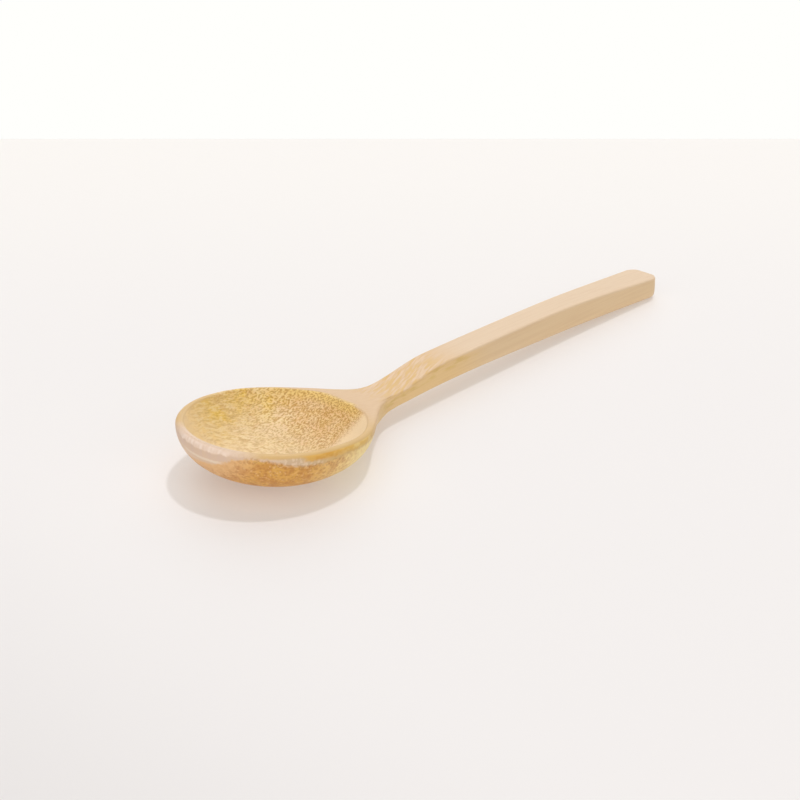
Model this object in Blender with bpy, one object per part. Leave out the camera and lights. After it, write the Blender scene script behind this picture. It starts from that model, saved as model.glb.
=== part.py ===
"""A small wooden spoon for honey, carved from one piece of straight-grained wood.

The spoon lies on a table as it does when it is put down: the bowl rests on the small
sanded flat under it, and the far end of the handle touches the table too.
+X runs from the tip of the bowl to the end of the handle, +Z is up, and the origin is
on the table under the middle of the spoon. Every size is in metres.
"""
import math

import bmesh
import bpy
import numpy as np

# Plan, measured from the tip of the bowl
LENGTH = 0.160
WIDEST_AT = 0.0221
HOLLOW_END_AT = 0.0444
NECK_AT = 0.0578
KNEE_AT = 0.0762
BOWL_WIDTH = 0.0415
NECK_WIDTH = 0.0085
KNEE_WIDTH = 0.0077
MIDDLE_WIDTH = 0.0075
END_WIDTH = 0.0092
SHOULDER_FULLNESS = 1.27
END_CORNER = 0.0032

# Heights of the upper side above the table
TIP_HEIGHT = 0.0148
WIDEST_HEIGHT = 0.0124
HOLLOW_END_HEIGHT = 0.0091
NECK_HEIGHT = 0.0072
KNEE_HEIGHT = 0.0094
MIDDLE_HEIGHT = 0.0087

# Wood between the upper side and the underside
NECK_THICKNESS = 0.0038
KNEE_THICKNESS = 0.0060
MIDDLE_THICKNESS = 0.0067
END_THICKNESS = 0.0057

# Hollow of the bowl, and the sanded flat under it
RIM_WIDTH = 0.0019
SHOULDER_RIM_WIDTH = 0.0013
FLOOR_THICKNESS = 0.0030
BASE_AT = 0.0274
BASE_RADIUS = 0.0050

# Powers of the rounded shapes: 2 is an ellipse, and more is fuller and squarer
HOLLOW_BACK_POWER = 5.5
BOWL_POWER = 2.0
HANDLE_POWER = 6.0

# Power of the hollow's depth: more keeps its floor level further out
HOLLOW_DEPTH_POWER = 3.0

# Where the back corner of the hollow gives way to its straight back edge
HOLLOW_BACK_TURN = math.radians(82)

# Radii of the softened edges: outside the rim, outside elsewhere, and round the hollow
RIM_EDGE = 0.00125
OUTER_EDGE = 0.0005
HOLLOW_EDGE = 0.0006

# Slope at which the wall of the hollow meets its softened edge
HOLLOW_SLOPE = math.radians(50)

# Number of steps in the mesh
FRONT_STEPS = 10
SHOULDER_STEPS = 9
ACROSS_STEPS = 6
HOLLOW_STEPS = 8
SIDE_STEPS = 4
UNDER_STEPS = 5
HANDLE_STEPS = 14
CORNER_STEPS = 4
ROUND_STEPS = 3


def smooth_line(stations, values):
    """Return a function: a smooth curve through the values that never overshoots them."""
    x = np.array(stations)
    y = np.array(values)
    run = np.diff(x)
    rise = np.diff(y) / run
    slope = np.concatenate([rise[:1], np.zeros(len(x) - 2), rise[-1:]])
    for k in range(1, len(x) - 1):
        if rise[k - 1] * rise[k] > 0:
            slope[k] = 2 * rise[k - 1] * rise[k] / (rise[k - 1] + rise[k])

    def value(at):
        at = np.clip(at, x[0], x[-1])
        k = np.clip(np.searchsorted(x, at, side="right") - 1, 0, len(run) - 1)
        f = (at - x[k]) / run[k]
        return (y[k] * (1 + 2 * f) * (1 - f) ** 2 + y[k + 1] * f * f * (3 - 2 * f)
                + run[k] * f * (1 - f) * (slope[k] * (1 - f) - slope[k + 1] * f))

    return value


def ease(share):
    """Go from 0 to 1 with a level start and a level finish."""
    share = np.clip(share, 0.0, 1.0)
    return share * share * (3 - 2 * share)


def middle_at():
    return (KNEE_AT + LENGTH) / 2


def upper_line():
    """Height of the upper side along the spoon."""
    return smooth_line(
        [0, WIDEST_AT, HOLLOW_END_AT, NECK_AT, KNEE_AT, middle_at(), LENGTH],
        [TIP_HEIGHT, WIDEST_HEIGHT, HOLLOW_END_HEIGHT, NECK_HEIGHT, KNEE_HEIGHT,
         MIDDLE_HEIGHT, END_THICKNESS])


def lower_line():
    """Height of the middle of the underside, which is level under the bowl."""
    return smooth_line(
        [0, BASE_AT + BASE_RADIUS, NECK_AT, KNEE_AT, middle_at(), LENGTH],
        [0, 0, NECK_HEIGHT - NECK_THICKNESS, KNEE_HEIGHT - KNEE_THICKNESS,
         MIDDLE_HEIGHT - MIDDLE_THICKNESS, 0])


def handle_half_width():
    return smooth_line(
        [NECK_AT, KNEE_AT, middle_at(), LENGTH],
        [NECK_WIDTH / 2, KNEE_WIDTH / 2, MIDDLE_WIDTH / 2, END_WIDTH / 2])


def shoulder_half_width(along):
    """Half the width where the bowl draws in, from its widest place to the neck."""
    share = (along - WIDEST_AT) / (NECK_AT - WIDEST_AT)
    swell = (1 + np.cos(math.pi * share ** SHOULDER_FULLNESS)) / 2
    return (NECK_WIDTH + (BOWL_WIDTH - NECK_WIDTH) * swell) / 2


def bowl_outline():
    """Half the outline of the bowl in plan, from the tip to the neck: along, across."""
    turn = np.linspace(0, math.pi / 2, FRONT_STEPS + 1)
    back = np.linspace(WIDEST_AT, NECK_AT, SHOULDER_STEPS + 1)[1:]
    along = np.concatenate([WIDEST_AT * (1 - np.cos(turn)), back])
    across = np.concatenate([BOWL_WIDTH / 2 * np.sin(turn), shoulder_half_width(back)])
    return along, across


def hollow_outline():
    """Half the outline of the hollow, a rim's width inside the bowl's, straight behind."""
    front = np.linspace(0, math.pi / 2, FRONT_STEPS + 1)
    turn = np.linspace(0, HOLLOW_BACK_TURN, SHOULDER_STEPS + 1)[1:]
    back = WIDEST_AT + (HOLLOW_END_AT - WIDEST_AT) * np.sin(turn)
    width = shoulder_half_width(back)
    lean = np.gradient(width, back)
    thinning = ease((back - WIDEST_AT) / (HOLLOW_END_AT - WIDEST_AT))
    rim = RIM_WIDTH + (SHOULDER_RIM_WIDTH - RIM_WIDTH) * thinning
    inside = width - rim * np.sqrt(1 + lean * lean)
    closing = (1 - np.sin(turn) ** HOLLOW_BACK_POWER) ** (1 / HOLLOW_BACK_POWER)
    half = BOWL_WIDTH / 2 - RIM_WIDTH
    along = np.concatenate([WIDEST_AT - (WIDEST_AT - RIM_WIDTH) * np.cos(front), back])
    across = np.concatenate([half * np.sin(front), inside * closing])
    return along, across


def round_section(angle, power):
    """Share of the half width and of the depth that a rounded section reaches."""
    return np.cos(angle) ** (2 / power), np.sin(angle) ** (2 / power)


def at_height(points, height):
    """Give each point in plan its height."""
    return np.column_stack([points, np.broadcast_to(height, len(points))])


def side_angles():
    steps = SIDE_STEPS + UNDER_STEPS
    return np.linspace(0, math.pi / 2, steps + 1)


def under_angles():
    """Angles of the points across the underside of the handle, edge to edge."""
    edge = side_angles()[SIDE_STEPS]
    half = np.linspace(edge, math.pi / 2, ACROSS_STEPS // 2 + 1)
    return np.concatenate([half, half[-2::-1]])


def outer_softness(along):
    """Radius of the softened outer edge: that of the rim, and less towards the neck."""
    to_back = ease((along - WIDEST_AT) / (HOLLOW_END_AT - WIDEST_AT))
    return RIM_EDGE + (OUTER_EDGE - RIM_EDGE) * to_back


def handle_section(at, half_width, upper, lower):
    """Loop of points round the handle, starting on its upper side at the -Y edge."""
    across = np.linspace(-1, 1, ACROSS_STEPS + 1) * (half_width - OUTER_EDGE)
    top = [(y, upper) for y in across]
    turn = np.linspace(0, math.pi / 2, ROUND_STEPS + 1)[1:]
    edge = [(half_width - OUTER_EDGE * (1 - math.sin(a)),
             upper - OUTER_EDGE * (1 - math.cos(a))) for a in turn]
    wall = upper - OUTER_EDGE
    angles = side_angles()[1:SIDE_STEPS]
    wide, deep = round_section(angles, HANDLE_POWER)
    side = [(half_width * w, wall - (wall - lower) * d) for w, d in zip(wide, deep)]
    wide, deep = round_section(under_angles(), HANDLE_POWER)
    way = np.sign(ACROSS_STEPS / 2 - np.arange(ACROSS_STEPS + 1))
    under = [(half_width * w * s, wall - (wall - lower) * d)
             for w, d, s in zip(wide, deep, way)]
    left = edge + side
    right = [(-y, z) for y, z in reversed(left)]
    return np.array([(at, y, z) for y, z in top + left + under + right])


def both_sides(along, across):
    """Columns from the +Y side of the neck, round the tip, to the -Y side."""
    plus = np.column_stack([along, across])
    minus = np.column_stack([along, -across])
    return np.vstack([plus[::-1], minus[1:]])


def neck_steps(along, half_width):
    """Points between the two sides of the neck, from -Y to +Y."""
    across = np.linspace(-half_width, half_width, ACROSS_STEPS + 1)[1:-1]
    return np.column_stack([np.full(len(across), along), across])


def outward(ring):
    """Level directions out of a closed ring."""
    step = np.roll(ring, -1, axis=0) - np.roll(ring, 1, axis=0)
    out = np.column_stack([step[:, 1], -step[:, 0]])
    return out / np.linalg.norm(out, axis=1, keepdims=True)


def hollow_rows():
    """Closed rows of points from the oval bottom of the hollow up to the top of the rim."""
    ring = both_sides(*hollow_outline())
    ring = np.vstack([ring, neck_steps(ring[0, 0], ring[0, 1])])
    centre = np.array([(RIM_WIDTH + HOLLOW_END_AT) / 2, 0])
    half_size = np.array([(HOLLOW_END_AT - RIM_WIDTH) / 2, BOWL_WIDTH / 2 - RIM_WIDTH])
    spokes = ring - centre
    oval = spokes / np.linalg.norm(spokes / half_size, axis=1, keepdims=True)
    lip = upper_line()(ring[:, 0])
    edge_start = lip - HOLLOW_EDGE * (1 - math.cos(HOLLOW_SLOPE))
    rows = []
    for wide in np.linspace(0, 1, HOLLOW_STEPS + 1)[1:]:
        high = wide ** HOLLOW_DEPTH_POWER
        shape = oval + (spokes - oval) * high
        height = FLOOR_THICKNESS + (edge_start - FLOOR_THICKNESS) * high
        rows.append(at_height(centre + shape * wide, height))
    out = outward(ring)
    for slope in np.linspace(HOLLOW_SLOPE, 0, ROUND_STEPS + 1)[1:]:
        place = ring + out * HOLLOW_EDGE * (math.sin(HOLLOW_SLOPE) - math.sin(slope))
        rows.append(at_height(place, lip - HOLLOW_EDGE * (1 - math.cos(slope))))
    bottom = np.array([centre[0], centre[1], FLOOR_THICKNESS])
    return bottom, rows


def rim_rows(inner_row):
    """Closed rows over the rim and the neck, then open rows round its outer edge."""
    sides = both_sides(*bowl_outline())
    out = outward(sides)
    out[0] = (0, 1)
    out[-1] = (0, -1)
    upper = upper_line()
    soft = outer_softness(sides[:, 0])
    edge = sides - out * soft[:, None]
    flat = np.vstack([edge, neck_steps(NECK_AT, edge[0, 1])])
    middle = (flat + inner_row[:, :2]) / 2
    closed = [at_height(middle, upper(middle[:, 0])), at_height(flat, upper(flat[:, 0]))]
    open_rows = []
    for angle in np.linspace(0, math.pi / 2, ROUND_STEPS + 1)[1:]:
        place = sides - out * soft[:, None] * (1 - math.sin(angle))
        drop = soft * (1 - math.cos(angle))
        open_rows.append(at_height(place, upper(sides[:, 0]) - drop))
    return closed, open_rows


def outside_rows():
    """Open rows down the outside to the edge of the neck, then closed rows to the base."""
    sides = both_sides(*bowl_outline())
    lower = lower_line()
    top = upper_line()(sides[:, 0]) - outer_softness(sides[:, 0])
    past_hollow = ease((sides[:, 0] - HOLLOW_END_AT) / (NECK_AT - HOLLOW_END_AT))
    power = BOWL_POWER + (HANDLE_POWER - BOWL_POWER) * past_hollow
    to_neck = ease((sides[:, 0] - WIDEST_AT) / (NECK_AT - WIDEST_AT))
    angles = side_angles()
    neck_angle = angles[SIDE_STEPS]
    base = base_ring()
    foot = base[:len(sides)]
    bowl_at_neck, _ = round_section(neck_angle, BOWL_POWER)
    open_rows = []
    closed = []
    for step, angle in enumerate(angles[1:-1], start=1):
        wide, deep = round_section(angle, power)
        bowl_wide, _ = round_section(angle, BOWL_POWER)
        run = min(1.0, bowl_wide / bowl_at_neck)
        reach = (1 - to_neck) * wide + to_neck * run
        along = foot[:, 0] + (sides[:, 0] - foot[:, 0]) * reach
        across = foot[:, 1] + (sides[:, 1] - foot[:, 1]) * wide
        floor = lower(along)
        row = np.column_stack([along, across, floor + (top - floor) * (1 - deep)])
        if step < SIDE_STEPS:
            open_rows.append(row)
        else:
            under = neck_underside(angle, run, base[len(sides):], lower)
            closed.append(np.vstack([row, under]))
    closed.append(at_height(base, 0))
    return open_rows, closed


def neck_underside(angle, run, foot, lower):
    """Points between the two sides on the way from under the neck to the base."""
    start_wide, start_deep = round_section(under_angles()[1:-1], HANDLE_POWER)
    edge_wide, edge_deep = round_section(side_angles()[SIDE_STEPS], HANDLE_POWER)
    wide, deep = round_section(angle, HANDLE_POWER)
    way = np.sign(np.arange(1, ACROSS_STEPS) - ACROSS_STEPS / 2)
    start = start_wide * way * NECK_WIDTH / 2
    along = foot[:, 0] + (NECK_AT - foot[:, 0]) * run
    across = foot[:, 1] + (start - foot[:, 1]) * wide / edge_wide
    floor = lower(along)
    share = (1 - deep) * (1 - start_deep) / (1 - edge_deep)
    height = floor + (NECK_HEIGHT - OUTER_EDGE - floor) * share
    return np.column_stack([along, across, height])


def base_ring():
    """Round edge of the sanded flat under the bowl, with a point for each column."""
    count = 2 * (FRONT_STEPS + SHOULDER_STEPS) + ACROSS_STEPS
    first = math.pi * ACROSS_STEPS / count
    turn = first + 2 * math.pi * np.arange(count) / count
    return np.column_stack([BASE_AT + BASE_RADIUS * np.cos(turn),
                            BASE_RADIUS * np.sin(turn)])


def handle_rows():
    """Loops round the handle from the first one past the neck to its rounded end."""
    straight = np.linspace(NECK_AT, LENGTH - END_CORNER, HANDLE_STEPS + 1)[1:]
    turn = np.linspace(0, math.pi / 2, CORNER_STEPS + 1)[1:]
    stations = np.concatenate([straight, LENGTH - END_CORNER * (1 - np.sin(turn))])
    corner = np.concatenate([np.zeros(len(straight)), END_CORNER * (1 - np.cos(turn))])
    width = handle_half_width()
    upper = upper_line()
    lower = lower_line()
    rows = []
    for at, cut in zip(stations, corner):
        past = min(1.0, max(0.0, (at - (LENGTH - OUTER_EDGE)) / OUTER_EDGE))
        soft = OUTER_EDGE * (1 - math.sqrt(1 - past * past))
        rows.append(handle_section(
            at, width(at) - cut, upper(at) - soft, lower(at) + soft))
    return rows


def add_row(mesh, points):
    return [mesh.verts.new(p) for p in points]


def bridge(mesh, first, second, closed=True):
    """Cover the band between two rows that have the same number of points."""
    edges = []
    for row in (first, second):
        ends = row[1:] + row[:1] if closed else row[1:]
        for pair in zip(row, ends):
            edges.append(mesh.edges.get(pair) or mesh.edges.new(pair))
    bmesh.ops.bridge_loops(mesh, edges=edges)


def bridge_all(mesh, rows, closed=True):
    for first, second in zip(rows, rows[1:]):
        bridge(mesh, first, second, closed)


def spoon_mesh():
    """Cover the rows of points: the upper side, the outer wall, the base, the handle."""
    mesh = bmesh.new()
    bottom, hollow = hollow_rows()
    over_rim, rim_edge = rim_rows(hollow[-1])
    wall, under = outside_rows()
    sides = 2 * (FRONT_STEPS + SHOULDER_STEPS) + 1

    upper = [add_row(mesh, row) for row in hollow + over_rim]
    outer = [add_row(mesh, row) for row in rim_edge + wall]
    lower = [add_row(mesh, row) for row in under]
    bridge_all(mesh, upper)
    bridge_all(mesh, [upper[-1][:sides]] + outer + [lower[0][:sides]], closed=False)
    bridge_all(mesh, lower)

    neck = upper[-1][sides - 1:] + upper[-1][:1] + [row[0] for row in outer]
    neck += lower[0][:1] + lower[0][:sides - 2:-1] + [row[-1] for row in outer[::-1]]
    loops = [neck] + [add_row(mesh, row) for row in handle_rows()]
    bridge_all(mesh, loops)

    floor = mesh.faces.new(upper[0])
    middle = bmesh.ops.poke(mesh, faces=[floor])["verts"][0]
    middle.co = bottom
    mesh.faces.new(lower[-1])
    mesh.faces.new(loops[-1])
    bmesh.ops.recalc_face_normals(mesh, faces=mesh.faces)
    return mesh


def wood():
    """Pale honey-coloured wood, sanded and lightly oiled to a satin finish."""
    material = bpy.data.materials.new("pale_wood")
    material.use_nodes = True
    shader = material.node_tree.nodes["Principled BSDF"]
    shader.inputs["Base Color"].default_value = (0.70, 0.48, 0.24, 1)
    shader.inputs["Roughness"].default_value = 0.5
    shader.inputs["Metallic"].default_value = 0.0
    return material


def main():
    for thing in list(bpy.data.objects):
        bpy.data.objects.remove(thing, do_unlink=True)
    mesh = spoon_mesh()
    data = bpy.data.meshes.new("spoon")
    mesh.to_mesh(data)
    mesh.free()
    data.shade_smooth()
    data.set_sharp_from_angle(angle=math.radians(40))
    data.materials.append(wood())
    spoon = bpy.data.objects.new("spoon", data)
    spoon.location = (-LENGTH / 2, 0, 0)
    bpy.context.scene.collection.objects.link(spoon)


main()
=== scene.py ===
# %% [markdown]
# # A carved wooden spoon for honey
#
# This lesson dresses one small spoon so that it looks like a photograph of the real one.
# The spoon's plain model is loaded first. Then we set the camera, the light and the table,
# loft a finer spoon in the same place, and spend most of our time on the wood.

# %% The tools, and the plain model
import math

import bmesh
import bpy
import numpy as np
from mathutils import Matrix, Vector


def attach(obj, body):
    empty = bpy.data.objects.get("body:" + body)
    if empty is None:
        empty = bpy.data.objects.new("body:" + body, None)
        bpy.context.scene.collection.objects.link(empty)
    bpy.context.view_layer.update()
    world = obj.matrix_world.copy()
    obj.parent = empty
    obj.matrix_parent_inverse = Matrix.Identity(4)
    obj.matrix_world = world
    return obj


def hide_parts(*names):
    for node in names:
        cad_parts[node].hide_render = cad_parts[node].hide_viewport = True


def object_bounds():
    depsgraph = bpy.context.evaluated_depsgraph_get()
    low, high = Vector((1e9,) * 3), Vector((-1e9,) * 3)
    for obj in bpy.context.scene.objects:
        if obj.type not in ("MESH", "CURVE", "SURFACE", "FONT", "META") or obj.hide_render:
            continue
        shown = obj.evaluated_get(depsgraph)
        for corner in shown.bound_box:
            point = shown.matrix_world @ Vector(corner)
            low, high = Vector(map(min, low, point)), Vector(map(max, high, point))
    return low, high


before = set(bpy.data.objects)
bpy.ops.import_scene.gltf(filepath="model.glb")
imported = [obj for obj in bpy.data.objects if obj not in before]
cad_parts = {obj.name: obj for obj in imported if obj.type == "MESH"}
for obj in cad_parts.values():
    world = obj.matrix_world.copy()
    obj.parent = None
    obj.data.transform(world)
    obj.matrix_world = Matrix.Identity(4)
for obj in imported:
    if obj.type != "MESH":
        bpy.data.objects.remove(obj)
model_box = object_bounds()
model_size = model_box[1] - model_box[0]
print("the plain spoon, in mm:", [round(1000 * size, 1) for size in model_size])

# %% [markdown]
# ## The camera
#
# The photograph was taken from the front left of the spoon, looking down about 26 degrees.
# A long lens keeps the far end of the handle nearly as wide as the near end, so a long lens
# is used here too. The picture is square, and a camera without any shift frames it.

# %% The camera
PICTURE = 800
FOCAL_PIXELS = 2400
CAMERA_PLACE = (-0.3934, -0.3429, 0.2457)
LOOKING_DOWN = math.radians(25.50)
LOOKING_RIGHT = math.radians(47.76)

lens = bpy.data.cameras.new("camera")
lens.sensor_width = 36
lens.lens = lens.sensor_width * FOCAL_PIXELS / PICTURE
lens.clip_start = 0.01
lens.clip_end = 20
camera = bpy.data.objects.new("camera", lens)
camera.location = CAMERA_PLACE
camera.rotation_euler = (math.pi / 2 - LOOKING_DOWN, 0, -LOOKING_RIGHT)
bpy.context.scene.collection.objects.link(camera)
bpy.context.scene.camera = camera
bpy.context.scene.view_settings.view_transform = "Standard"
print("lens in mm:", lens.lens)

# %% [markdown]
# ## Small helpers
#
# Colours are easiest to pick as the hex values of a screen, but a shader counts in linear
# light, so one function turns the first into the second. Another adds a node to a tree: it
# sets the node's own settings, and each input gets either a value or a link. A pattern needs
# only a few kinds of step, and the class gives each of them a short name. The most used one
# lays a colour over what is there already, as thin or as thick as a share from 0 to 1 says.


# %% Colours, nodes and materials
def linear(colour):
    """Turn a screen colour such as #f4f0ed into linear red, green, blue and alpha."""
    parts = [int(colour[k:k + 2], 16) / 255 for k in (1, 3, 5)]
    return [p / 12.92 if p <= 0.04045 else ((p + 0.055) / 1.055) ** 2.4
            for p in parts] + [1]


def add(tree, kind, inputs=(), **settings):
    """Add a node. Inputs is a dict of socket name or number to a value or a socket."""
    node = tree.nodes.new("ShaderNode" + kind)
    for name, value in settings.items():
        setattr(node, name, value)
    for name, value in dict(inputs).items():
        if isinstance(value, bpy.types.NodeSocket):
            tree.links.new(value, node.inputs[name])
        else:
            node.inputs[name].default_value = value
    return node


class Finish:
    """A material, with short names for the steps that its patterns are made of."""

    def __init__(self, name):
        self.material = bpy.data.materials.new(name)
        self.material.use_nodes = True
        self.tree = self.material.node_tree
        self.shader = self.tree.nodes["Principled BSDF"]

    def node(self, kind, inputs=(), **settings):
        return add(self.tree, kind, inputs, **settings)

    def set(self, name, value):
        """Give an input of the shader a value, or link a pattern to it."""
        if isinstance(value, bpy.types.NodeSocket):
            self.tree.links.new(value, self.shader.inputs[name])
        else:
            self.shader.inputs[name].default_value = value

    def work_out(self, kind, first, *more):
        """Work out a sum, a product and so on, from left to right."""
        for value in more:
            first = self.node("Math", {0: first, 1: value}, operation=kind).outputs[0]
        return first

    def total(self, *values):
        return self.work_out("ADD", *values)

    def product(self, *values):
        return self.work_out("MULTIPLY", *values)

    def less(self, *values):
        return self.work_out("SUBTRACT", *values)

    def fade(self, value, start, end):
        """Go from 0 to 1, gently, while the value goes from start to end."""
        return self.node("MapRange", {"Value": value, "From Min": start, "From Max": end},
                         interpolation_type="SMOOTHSTEP").outputs["Result"]

    def between(self, value, *stops):
        """Fade in from the first stop to the second, and out from the third to the fourth."""
        return self.product(self.fade(value, stops[0], stops[1]),
                            self.fade(value, stops[3], stops[2]))

    def over(self, below, colour, share):
        """Lay a colour over what is below it, with a share from 0 to 1."""
        both = [linear(one) if isinstance(one, str) else one for one in (below, colour)]
        return self.node("Mix", {0: share, 6: both[0], 7: both[1]},
                         data_type="RGBA").outputs[2]


# %% [markdown]
# ## The light
#
# One small, strong light stands high above the spoon and gives the shadow its clear edge. A
# large panel behind the spoon adds the wide, faint shadow that reaches towards the camera. A
# white screen at the front left lights the sides that face us, and a weak lamp on the right
# helps it. The room itself glows only softly. All of them together light an upward face at
# about the level at which a colour looks as it is written. The background is white for the
# camera, and in reflections too, but it lights the spoon only as much as the room does.


# %% The lights and the room
def sun(name, towards, strength, spread, colour):
    """A far light, named by the direction from the spoon towards it."""
    light = bpy.data.lights.new(name, "SUN")
    light.energy = strength
    light.angle = math.radians(spread)
    light.color = linear(colour)[:3]
    lamp = bpy.data.objects.new(name, light)
    lamp.rotation_euler = Vector(towards).to_track_quat("Z", "Y").to_euler()
    bpy.context.scene.collection.objects.link(lamp)
    return lamp


sun("high_lamp", (0.281, 0.042, 0.959), 0.95, 4, "#f0f5ff")
sun("back_panel", (0.50, 0.45, 0.74), 0.85, 70, "#fbfcff")
sun("white_screen", (-0.740, -0.360, 0.568), 1.52, 100, "#fffefc")
sun("right_lamp", (-0.023, -0.901, 0.432), 0.14, 16, "#fffaf2")

ROOM_STRENGTH = 0.20

world = bpy.data.worlds.new("room")
bpy.context.scene.world = world
world.use_nodes = True
room = world.node_tree
seen = add(room, "LightPath")
straight = add(room, "Math", {0: seen.outputs["Is Camera Ray"],
                              1: seen.outputs["Is Glossy Ray"]}, operation="MAXIMUM")
background = add(room, "Math", {0: straight.outputs[0],
                                1: seen.outputs["Is Transmission Ray"]},
                 operation="MAXIMUM")
glow = add(room, "Background", {"Color": linear("#fffcfa"), "Strength": ROOM_STRENGTH})
white = add(room, "Background", {"Color": linear("#fffffc"), "Strength": 1})
choice = add(room, "MixShader", {0: background.outputs[0], 1: glow.outputs[0],
                                 2: white.outputs[0]})
room.links.new(choice.outputs[0], room.nodes["World Output"].inputs["Surface"])
print("lamps:", [light.name for light in bpy.data.lights])

# %% [markdown]
# ## The table
#
# The spoon lies on a pale sheet whose far edge shows in the picture. A plane is enough. It
# is turned so that its far edge runs level across the picture, and it is large on the other
# three sides. Its colour is painted a little darker towards the near left and lighter
# towards the far edge: painted shade, for light that falls off across the table. As on a
# light table, the sheet also glows a little by itself, which keeps the shadow under the
# spoon pale and even. The sheet's own colour is darker for it, so that lamps and glow
# together give pale white.

# %% The table
TABLE_EDGE = 0.702
TABLE_SIZE = 1.6
TABLE_GLOW = 0.55

mesh = bmesh.new()
bmesh.ops.create_grid(mesh, x_segments=1, y_segments=1, size=TABLE_SIZE / 2)
table_mesh = bpy.data.meshes.new("table")
mesh.to_mesh(table_mesh)
mesh.free()
table = bpy.data.objects.new("table", table_mesh)
ahead = Vector((math.sin(LOOKING_RIGHT), math.cos(LOOKING_RIGHT), 0))
table.location = (Vector((camera.location.x, camera.location.y, 0))
                  + ahead * (TABLE_EDGE - TABLE_SIZE / 2))
table.rotation_euler = (0, 0, camera.rotation_euler.z)
bpy.context.scene.collection.objects.link(table)

sheet = Finish("white_acrylic_sheet")
on_table = sheet.node("SeparateXYZ", {0: sheet.node("TexCoord").outputs["Object"]}).outputs
corner = sheet.total(on_table["X"], on_table["Y"])
# Painted shade: darker towards the near left, lighter towards the far edge.
shades = sheet.over("#c6c2bf", "#cac6c1", sheet.fade(on_table["Y"], 0.62, 0.80))
shades = sheet.over(shades, "#b9b5b2", sheet.fade(corner, 0.50, 0.30))
sheet.set("Base Color", shades)
sheet.set("Emission Color", shades)
sheet.set("Emission Strength", TABLE_GLOW)
sheet.set("Roughness", 0.6)
table_mesh.materials.append(sheet.material)
print("the table's middle, in mm:", [round(1000 * size) for size in table.location])

# %% [markdown]
# ## The spoon's sizes
#
# The plain model is right in every size, but it has few faces. The finer spoon is lofted
# from the same sizes, with many more steps. The model gives its own length and width, and
# the rest are written here. All of them are in metres. Distances along the spoon are counted
# from the tip of the bowl, and heights from the table.

# %% The sizes
LENGTH = round(float(model_size[0]), 5)
WIDEST_AT = 0.0221
HOLLOW_END_AT = 0.0444
NECK_AT = 0.0578
KNEE_AT = 0.0762
MIDDLE_AT = (KNEE_AT + LENGTH) / 2
BOWL_WIDTH = round(float(model_size[1]), 5)
NECK_WIDTH = 0.0085
KNEE_WIDTH = 0.0077
MIDDLE_WIDTH = 0.0075
END_WIDTH = 0.0092
SHOULDER_FULLNESS = 1.27
END_CORNER = 0.0032

TIP_HEIGHT = 0.0148
WIDEST_HEIGHT = 0.0124
HOLLOW_END_HEIGHT = 0.0091
NECK_HEIGHT = 0.0072
KNEE_HEIGHT = 0.0094
MIDDLE_HEIGHT = 0.0087

NECK_THICKNESS = 0.0038
KNEE_THICKNESS = 0.0060
MIDDLE_THICKNESS = 0.0067
END_THICKNESS = 0.0057

RIM_WIDTH = 0.0019
SHOULDER_RIM_WIDTH = 0.0013
FLOOR_THICKNESS = 0.0030
BASE_AT = 0.0274
BASE_RADIUS = 0.0050

HOLLOW_DEPTH_POWER = 3.0
HOLLOW_BACK_POWER = 5.5
BOWL_POWER = 2.0
HANDLE_POWER = 6.0
HOLLOW_BACK_TURN = math.radians(82)

RIM_EDGE = 0.00125
OUTER_EDGE = 0.0005
HOLLOW_EDGE = 0.0006

FRONT_STEPS = 36
SHOULDER_STEPS = 32
ACROSS_STEPS = 22
HOLLOW_STEPS = 30
SIDE_STEPS = 16
UNDER_STEPS = 20
HANDLE_STEPS = 90
CORNER_STEPS = 12
ROUND_STEPS = 6

# %% [markdown]
# ## The lines that shape the spoon
#
# A carver draws a side view and a top view on the blank before cutting. We do the same with
# a few smooth curves: the height of the upper side, the height of the underside, and half
# of the width. Each curve passes through the sizes above and never overshoots them.


# %% Smooth curves
def smooth_line(stations, values):
    """Return a function: a smooth curve through the values that never overshoots them."""
    x = np.array(stations)
    y = np.array(values)
    run = np.diff(x)
    rise = np.diff(y) / run
    slope = np.concatenate([rise[:1], np.zeros(len(x) - 2), rise[-1:]])
    for k in range(1, len(x) - 1):
        if rise[k - 1] * rise[k] > 0:
            slope[k] = 2 * rise[k - 1] * rise[k] / (rise[k - 1] + rise[k])

    def value(at):
        at = np.clip(at, x[0], x[-1])
        k = np.clip(np.searchsorted(x, at, side="right") - 1, 0, len(run) - 1)
        f = (at - x[k]) / run[k]
        return (y[k] * (1 + 2 * f) * (1 - f) ** 2 + y[k + 1] * f * f * (3 - 2 * f)
                + run[k] * f * (1 - f) * (slope[k] * (1 - f) - slope[k + 1] * f))

    return value


def ease(share):
    """Go from 0 to 1 with a level start and a level finish."""
    share = np.clip(share, 0.0, 1.0)
    return share * share * (3 - 2 * share)


upper_line = smooth_line(
    [0, WIDEST_AT, HOLLOW_END_AT, NECK_AT, KNEE_AT, MIDDLE_AT, LENGTH],
    [TIP_HEIGHT, WIDEST_HEIGHT, HOLLOW_END_HEIGHT, NECK_HEIGHT, KNEE_HEIGHT,
     MIDDLE_HEIGHT, END_THICKNESS])
lower_line = smooth_line(
    [0, BASE_AT + BASE_RADIUS, NECK_AT, KNEE_AT, MIDDLE_AT, LENGTH],
    [0, 0, NECK_HEIGHT - NECK_THICKNESS, KNEE_HEIGHT - KNEE_THICKNESS,
     MIDDLE_HEIGHT - MIDDLE_THICKNESS, 0])
handle_half_width = smooth_line(
    [NECK_AT, KNEE_AT, MIDDLE_AT, LENGTH],
    [NECK_WIDTH / 2, KNEE_WIDTH / 2, MIDDLE_WIDTH / 2, END_WIDTH / 2])
print("handle at its middle, in mm:",
      round(2000 * float(handle_half_width(MIDDLE_AT)), 1), "wide")


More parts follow.
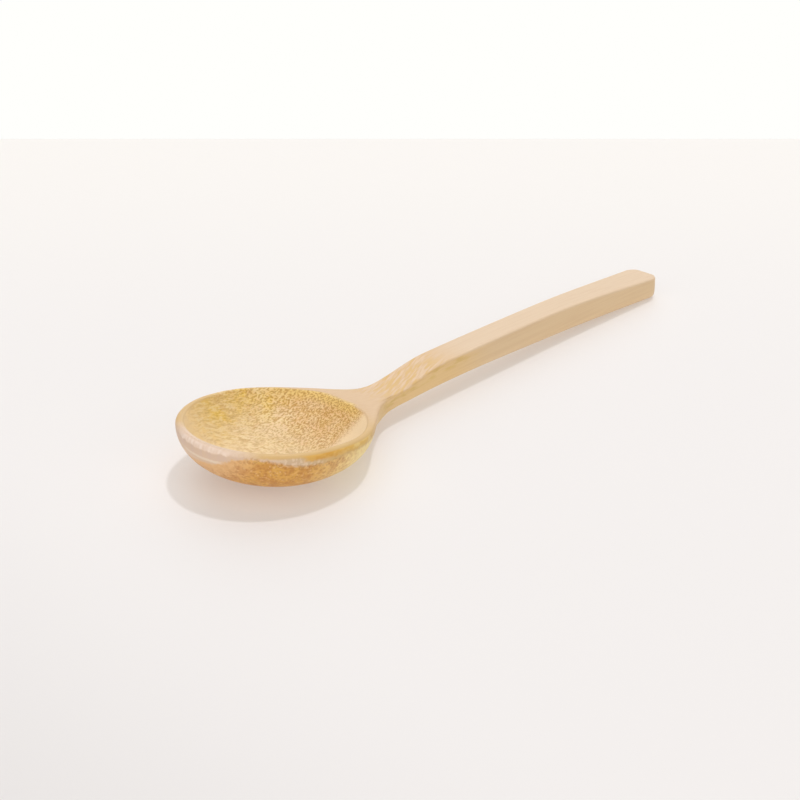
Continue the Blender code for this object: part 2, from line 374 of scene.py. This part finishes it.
# %% The outlines of the bowl and of its hollow, seen from above
def shoulder_half_width(along):
    """Half the width where the bowl draws in, from its widest place to the neck."""
    share = (along - WIDEST_AT) / (NECK_AT - WIDEST_AT)
    swell = (1 + np.cos(math.pi * share ** SHOULDER_FULLNESS)) / 2
    return (NECK_WIDTH + (BOWL_WIDTH - NECK_WIDTH) * swell) / 2


def both_sides(along, across):
    """Columns from the +Y side of the neck, round the tip, to the -Y side."""
    plus = np.column_stack([along, across])
    minus = np.column_stack([along, -across])
    return np.vstack([plus[::-1], minus[1:]])


def bowl_outline():
    turn = np.linspace(0, math.pi / 2, FRONT_STEPS + 1)
    back = np.linspace(WIDEST_AT, NECK_AT, SHOULDER_STEPS + 1)[1:]
    along = np.concatenate([WIDEST_AT * (1 - np.cos(turn)), back])
    across = np.concatenate([BOWL_WIDTH / 2 * np.sin(turn), shoulder_half_width(back)])
    return both_sides(along, across)


def hollow_outline():
    """A rim's width inside the bowl's outline, with a straight edge behind."""
    front = np.linspace(0, math.pi / 2, FRONT_STEPS + 1)
    turn = np.linspace(0, HOLLOW_BACK_TURN, SHOULDER_STEPS + 1)[1:]
    back = WIDEST_AT + (HOLLOW_END_AT - WIDEST_AT) * np.sin(turn)
    width = shoulder_half_width(back)
    lean = np.gradient(width, back)
    thinning = ease((back - WIDEST_AT) / (HOLLOW_END_AT - WIDEST_AT))
    rim = RIM_WIDTH + (SHOULDER_RIM_WIDTH - RIM_WIDTH) * thinning
    inside = width - rim * np.sqrt(1 + lean * lean)
    closing = (1 - np.sin(turn) ** HOLLOW_BACK_POWER) ** (1 / HOLLOW_BACK_POWER)
    half = BOWL_WIDTH / 2 - RIM_WIDTH
    along = np.concatenate([WIDEST_AT - (WIDEST_AT - RIM_WIDTH) * np.cos(front), back])
    across = np.concatenate([half * np.sin(front), inside * closing])
    return both_sides(along, across)


# %% [markdown]
# ## Rows of points
#
# A loft needs rows of points with the same count, and a skin between each pair of rows. The
# first rows are rings: they climb from the bottom of the hollow to its edge, then cross the
# rim. Further rows turn over the outer edge and run down the outside to the small flat that
# the bowl rests on. The bottom of the hollow is oval, though its edge is straight behind. The
# softened edge of the hollow starts at the slope that its wall has there, so no crease shows.


# %% Helpers for rows
def at_height(points, height):
    """Give each point in plan its height."""
    return np.column_stack([points, np.broadcast_to(height, len(points))])


def round_section(angle, power):
    """Share of the half width and of the depth that a rounded section reaches."""
    return np.cos(angle) ** (2 / power), np.sin(angle) ** (2 / power)


def outward(ring):
    """Level directions out of a closed ring."""
    step = np.roll(ring, -1, axis=0) - np.roll(ring, 1, axis=0)
    out = np.column_stack([step[:, 1], -step[:, 0]])
    return out / np.linalg.norm(out, axis=1, keepdims=True)


def neck_steps(along, half_width):
    """Points between the two sides of the neck, from -Y to +Y."""
    across = np.linspace(-half_width, half_width, ACROSS_STEPS + 1)[1:-1]
    return np.column_stack([np.full(len(across), along), across])


SIDE_ANGLES = np.linspace(0, math.pi / 2, SIDE_STEPS + UNDER_STEPS + 1)
HALF_UNDER = np.linspace(SIDE_ANGLES[SIDE_STEPS], math.pi / 2, ACROSS_STEPS // 2 + 1)
UNDER_ANGLES = np.concatenate([HALF_UNDER, HALF_UNDER[-2::-1]])
ROUND_ANGLES = np.linspace(0, math.pi / 2, ROUND_STEPS + 1)[1:]


# %% The hollow
def hollow_rows():
    """Rings from the oval bottom of the hollow up to the top of its edge."""
    ring = hollow_outline()
    ring = np.vstack([ring, neck_steps(ring[0, 0], ring[0, 1])])
    centre = np.array([(RIM_WIDTH + HOLLOW_END_AT) / 2, 0])
    half_size = np.array([(HOLLOW_END_AT - RIM_WIDTH) / 2, BOWL_WIDTH / 2 - RIM_WIDTH])
    spokes = ring - centre
    oval = spokes / np.linalg.norm(spokes / half_size, axis=1, keepdims=True)
    lip = upper_line(ring[:, 0])
    out = outward(ring)
    spread = spokes + HOLLOW_DEPTH_POWER * (spokes - oval)
    slope = np.arctan2(HOLLOW_DEPTH_POWER * (lip - FLOOR_THICKNESS), (spread * out).sum(axis=1))
    edge_start = lip - HOLLOW_EDGE * (1 - np.cos(slope))
    rows = []
    for wide in np.linspace(0, 1, HOLLOW_STEPS + 1)[1:]:
        high = wide ** HOLLOW_DEPTH_POWER
        shape = oval + (spokes - oval) * high
        height = FLOOR_THICKNESS + (edge_start - FLOOR_THICKNESS) * high
        rows.append(at_height(centre + shape * wide, height))
    for left in np.linspace(1, 0, ROUND_STEPS + 1)[1:]:
        past = HOLLOW_EDGE * (np.sin(slope) - np.sin(slope * left))
        rows.append(at_height(ring + out * past[:, None],
                              lip - HOLLOW_EDGE * (1 - np.cos(slope * left))))
    bottom = (centre[0], centre[1], FLOOR_THICKNESS)
    return bottom, rows


# %% The rim, and the rounding of its outer edge
def outer_softness(along):
    """Radius of the softened outer edge: that of the rim, and less towards the neck."""
    to_back = ease((along - WIDEST_AT) / (HOLLOW_END_AT - WIDEST_AT))
    return RIM_EDGE + (OUTER_EDGE - RIM_EDGE) * to_back


def rim_rows(inner_row):
    """Rings over the rim and the neck, then open rows round the outer edge."""
    sides = bowl_outline()
    out = outward(sides)
    out[0] = (0, 1)
    out[-1] = (0, -1)
    soft = outer_softness(sides[:, 0])
    edge = sides - out * soft[:, None]
    flat = np.vstack([edge, neck_steps(NECK_AT, edge[0, 1])])
    rings = []
    for share in np.linspace(0, 1, 5)[1:]:
        place = inner_row[:, :2] + (flat - inner_row[:, :2]) * share
        rings.append(at_height(place, upper_line(place[:, 0])))
    open_rows = []
    for angle in ROUND_ANGLES:
        place = sides - out * soft[:, None] * (1 - math.sin(angle))
        drop = soft * (1 - math.cos(angle))
        open_rows.append(at_height(place, upper_line(sides[:, 0]) - drop))
    return rings, open_rows


# %% The outside of the bowl
def base_ring():
    """Round edge of the sanded flat under the bowl, with a point for each column."""
    count = 2 * (FRONT_STEPS + SHOULDER_STEPS) + ACROSS_STEPS
    turn = (math.pi * ACROSS_STEPS + 2 * math.pi * np.arange(count)) / count
    return np.column_stack([BASE_AT + BASE_RADIUS * np.cos(turn),
                            BASE_RADIUS * np.sin(turn)])


def neck_underside(angle, run, foot):
    """Points between the two sides on the way from under the neck to the base."""
    start_wide, start_deep = round_section(UNDER_ANGLES[1:-1], HANDLE_POWER)
    edge_wide, edge_deep = round_section(SIDE_ANGLES[SIDE_STEPS], HANDLE_POWER)
    wide, deep = round_section(angle, HANDLE_POWER)
    way = np.sign(np.arange(1, ACROSS_STEPS) - ACROSS_STEPS / 2)
    start = start_wide * way * NECK_WIDTH / 2
    along = foot[:, 0] + (NECK_AT - foot[:, 0]) * run
    across = foot[:, 1] + (start - foot[:, 1]) * wide / edge_wide
    floor = lower_line(along)
    share = (1 - deep) * (1 - start_deep) / (1 - edge_deep)
    height = floor + (NECK_HEIGHT - OUTER_EDGE - floor) * share
    return np.column_stack([along, across, height])


def outside_rows():
    """Open rows down the outside to the edge of the neck, then rings to the base."""
    sides = bowl_outline()
    top = upper_line(sides[:, 0]) - outer_softness(sides[:, 0])
    past_hollow = ease((sides[:, 0] - HOLLOW_END_AT) / (NECK_AT - HOLLOW_END_AT))
    power = BOWL_POWER + (HANDLE_POWER - BOWL_POWER) * past_hollow
    to_neck = ease((sides[:, 0] - WIDEST_AT) / (NECK_AT - WIDEST_AT))
    base = base_ring()
    foot = base[:len(sides)]
    bowl_at_neck, _ = round_section(SIDE_ANGLES[SIDE_STEPS], BOWL_POWER)
    open_rows = []
    rings = []
    for step, angle in enumerate(SIDE_ANGLES[1:-1], start=1):
        wide, deep = round_section(angle, power)
        bowl_wide, _ = round_section(angle, BOWL_POWER)
        run = min(1.0, bowl_wide / bowl_at_neck)
        reach = (1 - to_neck) * wide + to_neck * run
        along = foot[:, 0] + (sides[:, 0] - foot[:, 0]) * reach
        across = foot[:, 1] + (sides[:, 1] - foot[:, 1]) * wide
        floor = lower_line(along)
        row = np.column_stack([along, across, floor + (top - floor) * (1 - deep)])
        if step < SIDE_STEPS:
            open_rows.append(row)
        else:
            under = neck_underside(angle, run, base[len(sides):])
            rings.append(np.vstack([row, under]))
    rings.append(at_height(base, 0))
    return open_rows, rings


# %% [markdown]
# ## The handle
#
# The handle is a bar with soft edges, about as thick as it is wide. Each row is one loop
# round it: across the upper side, over the edge, down the side and along the underside. Its
# far end has round corners, seen from above, and a soft edge all round.


# %% The handle
def handle_section(at, half_width, upper, lower):
    """Loop of points round the handle, starting on its upper side at the -Y edge."""
    across = np.linspace(-1, 1, ACROSS_STEPS + 1) * (half_width - OUTER_EDGE)
    top = [(y, upper) for y in across]
    edge = [(half_width - OUTER_EDGE * (1 - math.sin(a)),
             upper - OUTER_EDGE * (1 - math.cos(a))) for a in ROUND_ANGLES]
    wall = upper - OUTER_EDGE
    wide, deep = round_section(SIDE_ANGLES[1:SIDE_STEPS], HANDLE_POWER)
    side = [(half_width * w, wall - (wall - lower) * d) for w, d in zip(wide, deep)]
    wide, deep = round_section(UNDER_ANGLES, HANDLE_POWER)
    way = np.sign(ACROSS_STEPS / 2 - np.arange(ACROSS_STEPS + 1))
    under = [(half_width * w * s, wall - (wall - lower) * d)
             for w, d, s in zip(wide, deep, way)]
    left = edge + side
    right = [(-y, z) for y, z in reversed(left)]
    return np.array([(at, y, z) for y, z in top + left + under + right])


def handle_rows():
    """Loops round the handle from the first one past the neck to its rounded end."""
    straight = np.linspace(NECK_AT, LENGTH - END_CORNER, HANDLE_STEPS + 1)[1:]
    turn = np.linspace(0, math.pi / 2, CORNER_STEPS + 1)[1:]
    stations = np.concatenate([straight, LENGTH - END_CORNER * (1 - np.sin(turn))])
    corner = np.concatenate([np.zeros(len(straight)), END_CORNER * (1 - np.cos(turn))])
    rows = []
    for at, cut in zip(stations, corner):
        past = min(1.0, max(0.0, (at - (LENGTH - OUTER_EDGE)) / OUTER_EDGE))
        soft = OUTER_EDGE * (1 - math.sqrt(1 - past * past))
        rows.append(handle_section(at, handle_half_width(at) - cut,
                                   upper_line(at) - soft, lower_line(at) + soft))
    return rows


# %% [markdown]
# ## The skin
#
# A row is extruded and its copy is moved to the next row's points, again and again, as you
# would do by hand with the E key. The spoon has a branch: where the handle starts, the rings
# of the bowl end and the loops of the handle begin. So the handle grows out of a loop picked
# from points that are there already: along the upper side of the neck, down the ends of the
# open rows, along the underside, and back up. Every point is shared, so the skin is closed.


# %% Growing the skin
def ring_edges(mesh, row, closed=True):
    ends = row[1:] + row[:1] if closed else row[1:]
    return [mesh.edges.get(pair) or mesh.edges.new(pair) for pair in zip(row, ends)]


def grow(mesh, row, points, closed=True):
    """Extrude a row of vertices, and move the copy to the given points."""
    edges = ring_edges(mesh, row, closed)
    made = set(bmesh.ops.extrude_edge_only(mesh, edges=edges)["geom"])
    grown = [next(edge.other_vert(vert) for edge in vert.link_edges
                  if edge.other_vert(vert) in made) for vert in row]
    for vert, point in zip(grown, points):
        vert.co = point
    return grown


def loft_spoon():
    mesh = bmesh.new()
    in_hollow = mesh.verts.layers.float.new("in_hollow")
    below_rim = mesh.verts.layers.float.new("below_rim")
    bottom, hollow = hollow_rows()
    over_rim, rim_edge = rim_rows(hollow[-1])
    wall, under = outside_rows()
    sides = 2 * (FRONT_STEPS + SHOULDER_STEPS) + 1

    first = [mesh.verts.new(point) for point in hollow[0]]
    ring_edges(mesh, first)
    ring = first
    for points in hollow[1:]:
        ring = grow(mesh, ring, points)
    for vert in mesh.verts:
        vert[in_hollow] = 1.0
    for points in over_rim:
        ring = grow(mesh, ring, points)
        for vert in ring:
            vert[in_hollow] = 0.0

    row = ring[:sides]
    right_end = []
    left_end = []
    for points in rim_edge + wall:
        row = grow(mesh, row, points, closed=False)
        right_end.append(row[0])
        left_end.append(row[-1])
    row = grow(mesh, row, under[0][:sides], closed=False)
    row += [mesh.verts.new(point) for point in under[0][sides:]]

    loop = ring[sides - 1:] + ring[:1] + right_end
    loop += row[:1] + row[:sides - 2:-1] + left_end[::-1]
    for points in handle_rows():
        loop = grow(mesh, loop, points)
    mesh.faces.new(loop)

    for points in under[1:]:
        row = grow(mesh, row, points)
    mesh.faces.new(row)

    floor = mesh.faces.new(first)
    middle = bmesh.ops.poke(mesh, faces=[floor])["verts"][0]
    middle.co = bottom
    middle[in_hollow] = 1.0
    for vert in mesh.verts:
        vert[below_rim] = 1000 * float(upper_line(vert.co.x) - vert.co.z)
    bmesh.ops.translate(mesh, verts=mesh.verts, vec=(-LENGTH / 2, 0, 0))
    bmesh.ops.recalc_face_normals(mesh, faces=mesh.faces)
    return mesh


mesh = loft_spoon()
open_edges = sum(not edge.is_manifold for edge in mesh.edges)
print("the fine spoon:", len(mesh.faces), "faces,", open_edges, "open edges,",
      round(1e9 * mesh.calc_volume()), "mm3")
spoon_mesh = bpy.data.meshes.new("carved_spoon")
mesh.to_mesh(spoon_mesh)
mesh.free()
spoon_mesh.shade_smooth()
spoon_mesh.set_sharp_from_angle(angle=math.radians(35))
spoon = bpy.data.objects.new("carved_spoon", spoon_mesh)
bpy.context.scene.collection.objects.link(spoon)

# %% [markdown]
# ## The wood: where a point lies in it
#
# The spoon is cut from one piece of beech and oiled. Its fibres run along the spoon, and
# that is why each cut looks different. So the pattern is worked out in the wood's own
# measures, in millimetres: along the spoon from its tip, across it, and up. The loft gave
# two more: whether a point lies in the hollow, and how far below the rim it is. Soft random
# patches of a chosen size will make every edge and every line a little uneven.

# %% The wood's own measures
wood = Finish("oiled_beech")
spoon_mesh.materials.append(wood.material)
place = wood.node("VectorMath", {0: wood.node("TexCoord").outputs["Object"], 3: 1000},
                  operation="SCALE").outputs[0]
parts = wood.node("SeparateXYZ", {0: place}).outputs
along = wood.total(parts["X"], 1000 * LENGTH / 2)
across = parts["Y"]
height = parts["Z"]
in_hollow = wood.node("Attribute", attribute_name="in_hollow").outputs["Fac"]
below_rim = wood.node("Attribute", attribute_name="below_rim").outputs["Fac"]


def patches(long, wide, high, detail=2.0):
    """Random patches of this size in mm, with values from 0 to 1 and mostly near 0.5."""
    scaled = wood.node("VectorMath", {0: place, 1: (1 / long, 1 / wide, 1 / high)},
                       operation="MULTIPLY")
    return wood.node("TexNoise", {"Vector": scaled.outputs[0], "Scale": 1.0,
                                  "Detail": detail}).outputs["Fac"]


def swing(value, reach):
    """Turn a value from 0 to 1 into one from minus half the reach to plus half of it."""
    return wood.product(wood.total(value, -0.5), reach)


def tell_steps():
    print("steps in the pattern of the wood so far:", len(wood.tree.nodes))


# %% [markdown]
# ## The wood: year rings and flecks
#
# A year ring is a thin layer of the wood. The layers lie nearly level, rise a little towards
# the handle and wander. The hollow cuts them into long curved lines, and where it is nearly
# level the lines break up into short marks. Beech is also full of small flecks. They run
# along the spoon, so a level cut shows strokes and a steep cut across them shows dots.
# Random patches, longest along the spoon and thinnest in height, give both: their low values
# are light beads and their high ones brown flecks. Real flecks are finer than a pixel here,
# so they are drawn about half a millimetre long.

# %% Year rings and flecks
LAYER_RISE = 0.30
RING_WIDTH = 1.3
MARK_THICK = 0.32
MARK_LONG = 1.6
FLECK_LONG = 0.62
FLECK_WIDE = 0.36
FLECK_HIGH = 0.28

wander = swing(patches(14, 14, 14), 3.0)
layer = wood.total(height, wood.product(along, LAYER_RISE), wander,
                   swing(patches(2, 2, 2), 0.5))
wave = wood.node("Math", {0: wood.product(layer, 2 * math.pi / RING_WIDTH)},
                 operation="SINE").outputs[0]
ring_line = wood.fade(wave, 0.0, 1.0)
ring_section = wood.node("CombineXYZ", {0: wood.product(layer, 1 / MARK_THICK),
                                        1: wood.product(across, 1 / MARK_LONG),
                                        2: wood.product(along, 1 / MARK_LONG)}).outputs[0]
ring_marks = wood.node("TexNoise", {"Vector": ring_section, "Scale": 1.0,
                                    "Detail": 1.0}).outputs["Fac"]

strokes = patches(FLECK_LONG, FLECK_WIDE, FLECK_HIGH, 0.0)
bead = wood.fade(strokes, 0.52, 0.34)
fleck = wood.fade(strokes, 0.48, 0.66)

# %% [markdown]
# ## The wood: inside the hollow
#
# The hollow is yellowest on its far side, browner on the steep wall towards the handle, and
# palest beside the near rim, where the wall is smooth. Soft amber patches lie between. The
# flecks start behind the tip and grow denser and darker towards the handle, and their beads
# are pinkish in some places and yellow under the rear edge. Nearer the tip there are only
# the marks of the year rings.

# %% Inside the hollow: the ground colours
inside = wood.over("#eacb92", "#eed2a2", wood.fade(across, 2, -12))
inside = wood.over(inside, "#f8d69b", wood.fade(along, 24, 10))
far_side = wood.product(wood.fade(along, 8, 24), wood.fade(across, 0, 13),
                        wood.fade(height, 3.5, 9),
                        wood.total(0.55, wood.product(wood.fade(patches(4, 3, 3), 0.4, 0.6),
                                                      0.45)))
inside = wood.over(inside, "#f0c74f", far_side)
rear_wall = wood.product(wood.fade(wood.less(along, wood.product(across, 0.4)), 27, 37),
                         wood.fade(across, -13, -6))
inside = wood.over(inside, "#dbad62", rear_wall)
inside = wood.over(inside, "#e9cba4", wood.product(wood.fade(patches(4, 4, 4), 0.35, 0.65), 0.3))
amber = wood.product(wood.fade(patches(3.0, 1.6, 1.6), 0.56, 0.72),
                     wood.between(along, 19, 24, 33, 38))
inside = wood.over(inside, "#cf9440", wood.product(amber, 0.5))
smooth_wall = wood.product(wood.fade(wood.total(across, swing(patches(2, 2, 2), 2.5)), -6, -10),
                           wood.fade(along, 20, 28))
inside = wood.over(inside, "#f5d8ad", smooth_wall)
rear_edge = wood.product(wood.fade(below_rim, 2.2, 0.6), wood.fade(along, 33, 41),
                         wood.fade(across, -8, -3))
inside = wood.over(inside, "#ecc468", wood.product(rear_edge, 0.6))
tell_steps()

# %% Inside the hollow: flecks, beads and ring marks
flecked = wood.product(wood.fade(along, 12, 24),
                       wood.total(0.4, wood.product(wood.fade(along, 20, 36), 0.6)),
                       wood.less(1.0, wood.product(smooth_wall, 0.9)))
inside = wood.over(inside, "#ab7222", wood.product(fleck, flecked, 0.48))
blush = wood.fade(patches(2.6, 2.6, 2.6), 0.45, 0.60)
bead_colour = wood.over(wood.over("#fce5b4", "#f6d2aa", blush), "#f8dc90", rear_edge)
inside = wood.over(inside, bead_colour, wood.product(bead, flecked, 0.45))
inside = wood.over(inside, "#c08f48", wood.product(ring_line, wood.fade(along, 34, 20), 0.09))
marked = wood.product(wood.between(along, 6, 15, 24, 34), wood.fade(smooth_wall, 1, 0))
inside = wood.over(inside, "#b98a40",
                   wood.product(wood.fade(ring_marks, 0.50, 0.66), marked, 0.28))
inside = wood.over(inside, "#f8e2b4",
                   wood.product(wood.fade(ring_marks, 0.50, 0.36), marked, 0.38))
tell_steps()

# %% [markdown]
# ## The wood: the rim, the neck and the handle
#
# The upper sides are pale and a little pink, partly a painted sheen, and yellower beside the
# hollow. The sides of the neck and the handle are painted lighter and yellower than the
# tops, as painted light on them. The rise behind the neck cuts through the year rings at a
# slant, which draws golden flames there. Beside it, the top of the handle's side has a
# yellow tinge. The rest of the handle has only fine long lines.

# %% The rim, the neck and the handle
# The pale pink of the tops is partly a painted sheen.
top = wood.over("#e8cbb0", "#dcb576", wood.fade(along, 2, 6.5))
top = wood.over(top, "#e2be93", wood.fade(along, 34, 46))
top = wood.over(top, "#e5c8a5", wood.fade(along, 74, 88))
# The sides are painted lighter than the tops, as painted light on them.
side_wood_and_painted_light = wood.over("#f0cc90", "#eacca1", wood.fade(along, 76, 96))
outside = wood.over(top, side_wood_and_painted_light, wood.product(wood.fade(below_rim, 0.15, 0.7),
                                             wood.fade(along, 34, 50)))
slant = wood.node("CombineXYZ", {
    0: wood.product(along, 1 / 4.5),
    1: wood.product(wood.less(across, wood.product(along, 0.3)), 1 / 0.7),
    2: height}).outputs[0]
flames = wood.node("TexNoise", {"Vector": slant, "Scale": 1.0, "Detail": 1.0}).outputs["Fac"]
at_knee = wood.product(wood.between(along, 49, 60, 70, 82), wood.fade(below_rim, 0.6, 0.2))
outside = wood.over(outside, "#dfb45f",
                    wood.product(wood.fade(flames, 0.44, 0.62), at_knee, 0.6))
outside = wood.over(outside, "#f4dcc0",
                    wood.product(wood.fade(flames, 0.46, 0.34), at_knee, 0.28))
tinged = wood.product(wood.between(along, 50, 56, 78, 92),
                      wood.between(below_rim, 0.2, 0.6, 1.6, 3.0))
outside = wood.over(outside, "#d9b54e",
                    wood.product(wood.fade(patches(5, 2, 1.2), 0.46, 0.66), tinged, 0.5))
fine_lines = wood.fade(patches(24, 0.5, 0.5), 0.4, 0.7)
outside = wood.over(outside, "#c99a64", wood.product(fine_lines, 0.14))
tell_steps()

# %% [markdown]
# ## The wood: the outside of the bowl
#
# Low on the outside, where the wall turns down towards the table, the colour is a warm
# orange: painted shade and warm light bounced from the table. It turns yellow towards the
# handle and carries darker specks, soft blotches and small painted glints. Brown spots line
# its upper edge. Above it, at the tip, lie bands that follow the rim: a whitish one with a
# ragged edge, which is a painted highlight on the rounded edge, a grey-brown one and a thin
# pale line. Further back come a speckled stretch and, right under the rim, a band that goes
# from gold to yellow.

# %% The outside of the bowl: painted warm shade low down
uneven = swing(patches(1.2, 1.2, 5.0), 1.0)
from_tip = wood.node("Math", {0: across}, operation="ABSOLUTE").outputs[0]
at_tip = wood.fade(along, 12, 6)
tip_drop = wood.total(wood.product(wood.fade(across, -11.5, -1), 3.5),
                      wood.product(wood.fade(across, -1, 5), 0.9))
# How far below the rim the painted warm shade starts, in mm.
warm_shade_start = wood.total(wood.product(tip_drop, at_tip),
                        wood.product(wood.fade(along, 4, 13), 1.7), 1.1,
                        wood.product(wood.fade(along, 17, 27), -0.9),
                        uneven, swing(patches(0.7, 0.7, 0.7), 0.9))
# The lower outside is painted warm orange: painted shade and light bounced from the table.
into_warm_shade = wood.less(below_rim, warm_shade_start)
warm_shade = wood.product(wood.fade(into_warm_shade, -0.5, 0.5), wood.fade(along, 50, 36))
warm_shade_colour = wood.over("#e9b97e", "#e0aa50", wood.fade(along, 1.5, 6))
warm_shade_colour = wood.over(warm_shade_colour, "#fce29c", wood.fade(along, 12, 30))
outside = wood.over(outside, "#e2c3a4",
                    wood.product(wood.fade(below_rim, 0.6, 1.1), wood.fade(along, 20, 10)))
outside = wood.over(outside, warm_shade_colour, warm_shade)

# %% The outside of the bowl: the gold band and the speckled stretch
gold = wood.product(wood.fade(below_rim, 0.25, 0.55),
                    wood.fade(wood.total(below_rim, wood.product(uneven, 1.2)), 2.0, 1.2),
                    wood.between(along, 12, 14, 32, 38))
mottle = wood.fade(patches(2.5, 2.0, 1.2), 0.42, 0.60)
front_gold = wood.over("#dfa546", "#e5b35a", mottle)
back_gold = wood.over("#e6bb60", "#eecb7e", mottle)
outside = wood.over(outside, wood.over(front_gold, back_gold, wood.fade(along, 19, 29)), gold)
speckle = wood.fade(patches(0.8, 0.8, 0.8, 1.0), 0.42, 0.6)
speckled = wood.product(wood.between(along, 7, 10, 15, 20), wood.fade(into_warm_shade, 0.3, -0.5),
                        wood.fade(below_rim, 0.4, 1.0), wood.less(1.0, gold))
outside = wood.over(outside, wood.over("#d3b48c", "#ead2b4", speckle),
                    wood.product(speckled, 0.6))

# %% The outside of the bowl: the bands at the tip
streaks = wood.fade(patches(1.2, 1.2, 7.0, 1.0), 0.25, 0.75)
# The whitish band at the tip is a painted highlight on the rounded outer edge.
highlight_end = wood.total(1.4, wood.product(from_tip, -0.04), wood.product(uneven, 1.3))
brown_end = wood.total(3.0, wood.product(from_tip, -0.04), wood.product(uneven, 0.5))
past_highlight = wood.less(below_rim, highlight_end)
past_brown = wood.less(below_rim, brown_end)
painted_highlight = wood.product(wood.between(past_highlight, -9, -8, -0.3, 0.3),
                       wood.fade(below_rim, 0.02, 0.3), wood.fade(along, 2.8, 0.9))
brownish = wood.product(wood.fade(past_highlight, -0.3, 0.3), wood.fade(past_brown, 0.4, -0.3),
                        wood.fade(along, 9, 4), wood.fade(into_warm_shade, 0.3, -0.4),
                        wood.total(0.1, streaks))
thin_line = wood.product(wood.between(past_brown, 0.1, 0.4, 0.8, 1.1),
                         wood.fade(along, 1.6, 0.6), 0.7)
outside = wood.over(outside, "#dfc1aa", brownish)
# Lay on the painted highlight, streaked along the wood.
outside = wood.over(outside, wood.over("#ecceb4", "#fce5d3", streaks), painted_highlight)
outside = wood.over(outside, "#f0dcc6", thin_line)

# %% The outside of the bowl: spots, specks and glints
at_start = wood.product(wood.between(into_warm_shade, -0.6, -0.1, 0.6, 1.3),
                        wood.between(along, 2, 5, 18, 28),
                        wood.fade(patches(0.75, 0.75, 0.75), 0.48, 0.60))
outside = wood.over(outside, "#a9702f", wood.product(at_start, 0.42))

specks = wood.fade(wood.node("TexVoronoi", {"Vector": place, "Scale": 1.2}).outputs["Distance"],
                   0.6, 0.25)
specked = wood.product(warm_shade, wood.between(along, 0.5, 3.5, 20, 34))
outside = wood.over(outside, "#b0662a", wood.product(specks, specked, 0.4))
outside = wood.over(outside, "#bd7430",
                    wood.product(wood.fade(patches(3.0, 2.4, 2.4), 0.42, 0.62), specked, 0.42))
# Small glints: painted highlights, scattered over the painted warm shade.
outside = wood.over(outside, "#eec68c",
                    wood.product(wood.fade(patches(0.62, 0.62, 0.62, 1.0), 0.56, 0.72),
                                 warm_shade, 0.5))
tell_steps()

# %% [markdown]
# ## The wood: its surface
#
# The two sets of colours meet at the edge of the hollow. On the far rim the flecks run on a
# little further. Near the tip, the steep top of the hollow's wall is painted a touch paler:
# painted light against the shade that falls on it there. The wood is sanded and oiled, which
# gives a soft sheen and no sharp highlight. The brown flecks are a little duller than the
# rest and lie nearly a tenth of a millimetre lower.

# %% The surface
far_rim = wood.product(wood.between(along, 20, 25, 36, 41), wood.fade(across, 4, 9),
                       wood.fade(below_rim, 1.0, 0.6))
edge_depth = wood.total(below_rim, wood.product(wood.fade(along, 20, 28),
                                                wood.fade(across, -6, -2), 0.6))
past_edge = wood.product(wood.fade(in_hollow, 0.5, 1.0), wood.fade(edge_depth, 0.05, 0.5))
use_inside = wood.node("Math", {0: past_edge, 1: far_rim}, operation="MAXIMUM").outputs[0]
colour = wood.over(outside, inside, use_inside)
# Near the tip the edge of the hollow is painted lighter, against the shade of its steep wall.
painted_light_at_tip_edge = wood.product(in_hollow, wood.fade(below_rim, 0.9, 0.3), wood.fade(along, 18, 8))
wood.set("Base Color", wood.over(colour, "#f6dcb0", wood.product(painted_light_at_tip_edge, 0.16)))
in_fleck = wood.product(fleck, flecked, in_hollow)
wood.set("Roughness", wood.node("MapRange", {"Value": in_fleck, "To Min": 0.48,
                                             "To Max": 0.62}).outputs["Result"])
bumps = wood.node("Bump", {"Height": wood.product(in_fleck, -1), "Strength": 0.8,
                           "Distance": 0.0001})
wood.set("Normal", bumps.outputs["Normal"])
tell_steps()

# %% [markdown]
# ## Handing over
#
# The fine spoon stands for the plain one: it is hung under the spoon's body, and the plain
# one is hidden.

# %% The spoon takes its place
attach(spoon, "root")
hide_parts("spoon")
